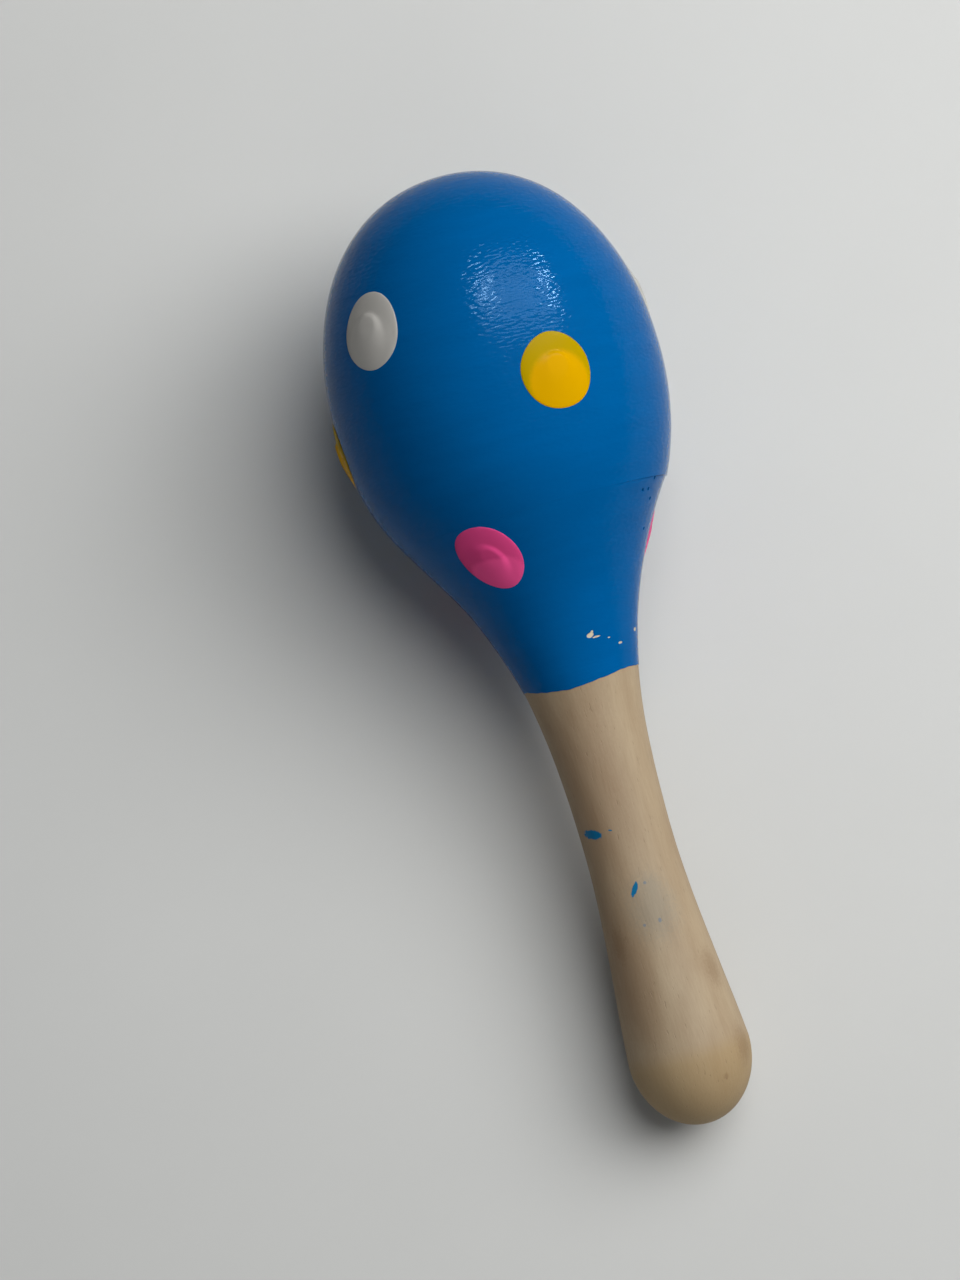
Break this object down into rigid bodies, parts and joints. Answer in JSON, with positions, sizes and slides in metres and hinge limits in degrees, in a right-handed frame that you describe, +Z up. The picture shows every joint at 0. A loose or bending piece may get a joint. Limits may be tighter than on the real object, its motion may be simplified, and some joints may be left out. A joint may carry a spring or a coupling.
{
  "type": "maraca",
  "caption": "Small wooden maraca: a hollow painted head on a turned wooden handle, with loose beads that rattle inside and raised paint dots outside.",
  "frame": {"origin": "on the table under the belly of the head, at the point where the lying maraca touches it", "axes": "+Z up from the table, +X along the table from the butt of the handle towards the crown of the head"},
  "size_m": [0.1287, 0.0464, 0.0452],
  "materials": {
    "painted_wood": "gloss blue paint on turned wood",
    "bare_wood": "bare turned wood, sanded; the funnel part is dipped in the same blue paint",
    "paint_white": "raised gloss white paint",
    "paint_yellow": "raised gloss yellow paint",
    "paint_pink": "raised gloss pink paint",
    "bead": "hard round seeds, smooth"
  },
  "bodies": {
    "maraca_body": {"head_cup": "painted_wood", "handle": "bare_wood", "white_dot_1": "paint_white", "white_dot_2": "paint_white", "white_dot_3": "paint_white", "yellow_dot_1": "paint_yellow", "yellow_dot_2": "paint_yellow", "yellow_dot_3": "paint_yellow", "pink_dot_1": "paint_pink", "pink_dot_2": "paint_pink", "pink_dot_3": "paint_pink"},
    "bead_01": {"rattle_bead_01": "bead"},
    "bead_02": {"rattle_bead_02": "bead"},
    "bead_03": {"rattle_bead_03": "bead"},
    "bead_04": {"rattle_bead_04": "bead"},
    "bead_05": {"rattle_bead_05": "bead"},
    "bead_06": {"rattle_bead_06": "bead"},
    "bead_07": {"rattle_bead_07": "bead"},
    "bead_08": {"rattle_bead_08": "bead"},
    "bead_09": {"rattle_bead_09": "bead"},
    "bead_10": {"rattle_bead_10": "bead"},
    "bead_11": {"rattle_bead_11": "bead"},
    "bead_12": {"rattle_bead_12": "bead"}
  },
  "joints": [
    {"name": "bead_01_toss", "type": "slide", "parent": "maraca_body", "child": "bead_01", "axis": [-0.1564, 0, 0.9877], "range_m": [0, 0.01797]},
    {"name": "bead_02_toss", "type": "slide", "parent": "maraca_body", "child": "bead_02", "axis": [-0.1564, 0, 0.9877], "range_m": [0, 0.02377]},
    {"name": "bead_03_toss", "type": "slide", "parent": "maraca_body", "child": "bead_03", "axis": [-0.1564, 0, 0.9877], "range_m": [0, 0.02377]},
    {"name": "bead_04_toss", "type": "slide", "parent": "maraca_body", "child": "bead_04", "axis": [-0.1564, 0, 0.9877], "range_m": [0, 0.01797]},
    {"name": "bead_05_toss", "type": "slide", "parent": "maraca_body", "child": "bead_05", "axis": [-0.1564, 0, 0.9877], "range_m": [0, 0.01797]},
    {"name": "bead_06_toss", "type": "slide", "parent": "maraca_body", "child": "bead_06", "axis": [-0.1564, 0, 0.9877], "range_m": [0, 0.02377]},
    {"name": "bead_07_toss", "type": "slide", "parent": "maraca_body", "child": "bead_07", "axis": [-0.1564, 0, 0.9877], "range_m": [0, 0.02377]},
    {"name": "bead_08_toss", "type": "slide", "parent": "maraca_body", "child": "bead_08", "axis": [-0.1564, 0, 0.9877], "range_m": [0, 0.01797]},
    {"name": "bead_09_toss", "type": "slide", "parent": "maraca_body", "child": "bead_09", "axis": [-0.1564, 0, 0.9877], "range_m": [0, 0.01797]},
    {"name": "bead_10_toss", "type": "slide", "parent": "maraca_body", "child": "bead_10", "axis": [-0.1564, 0, 0.9877], "range_m": [0, 0.02377]},
    {"name": "bead_11_toss", "type": "slide", "parent": "maraca_body", "child": "bead_11", "axis": [-0.1564, 0, 0.9877], "range_m": [0, 0.02377]},
    {"name": "bead_12_toss", "type": "slide", "parent": "maraca_body", "child": "bead_12", "axis": [-0.1564, 0, 0.9877], "range_m": [0, 0.01797]}
  ]
}
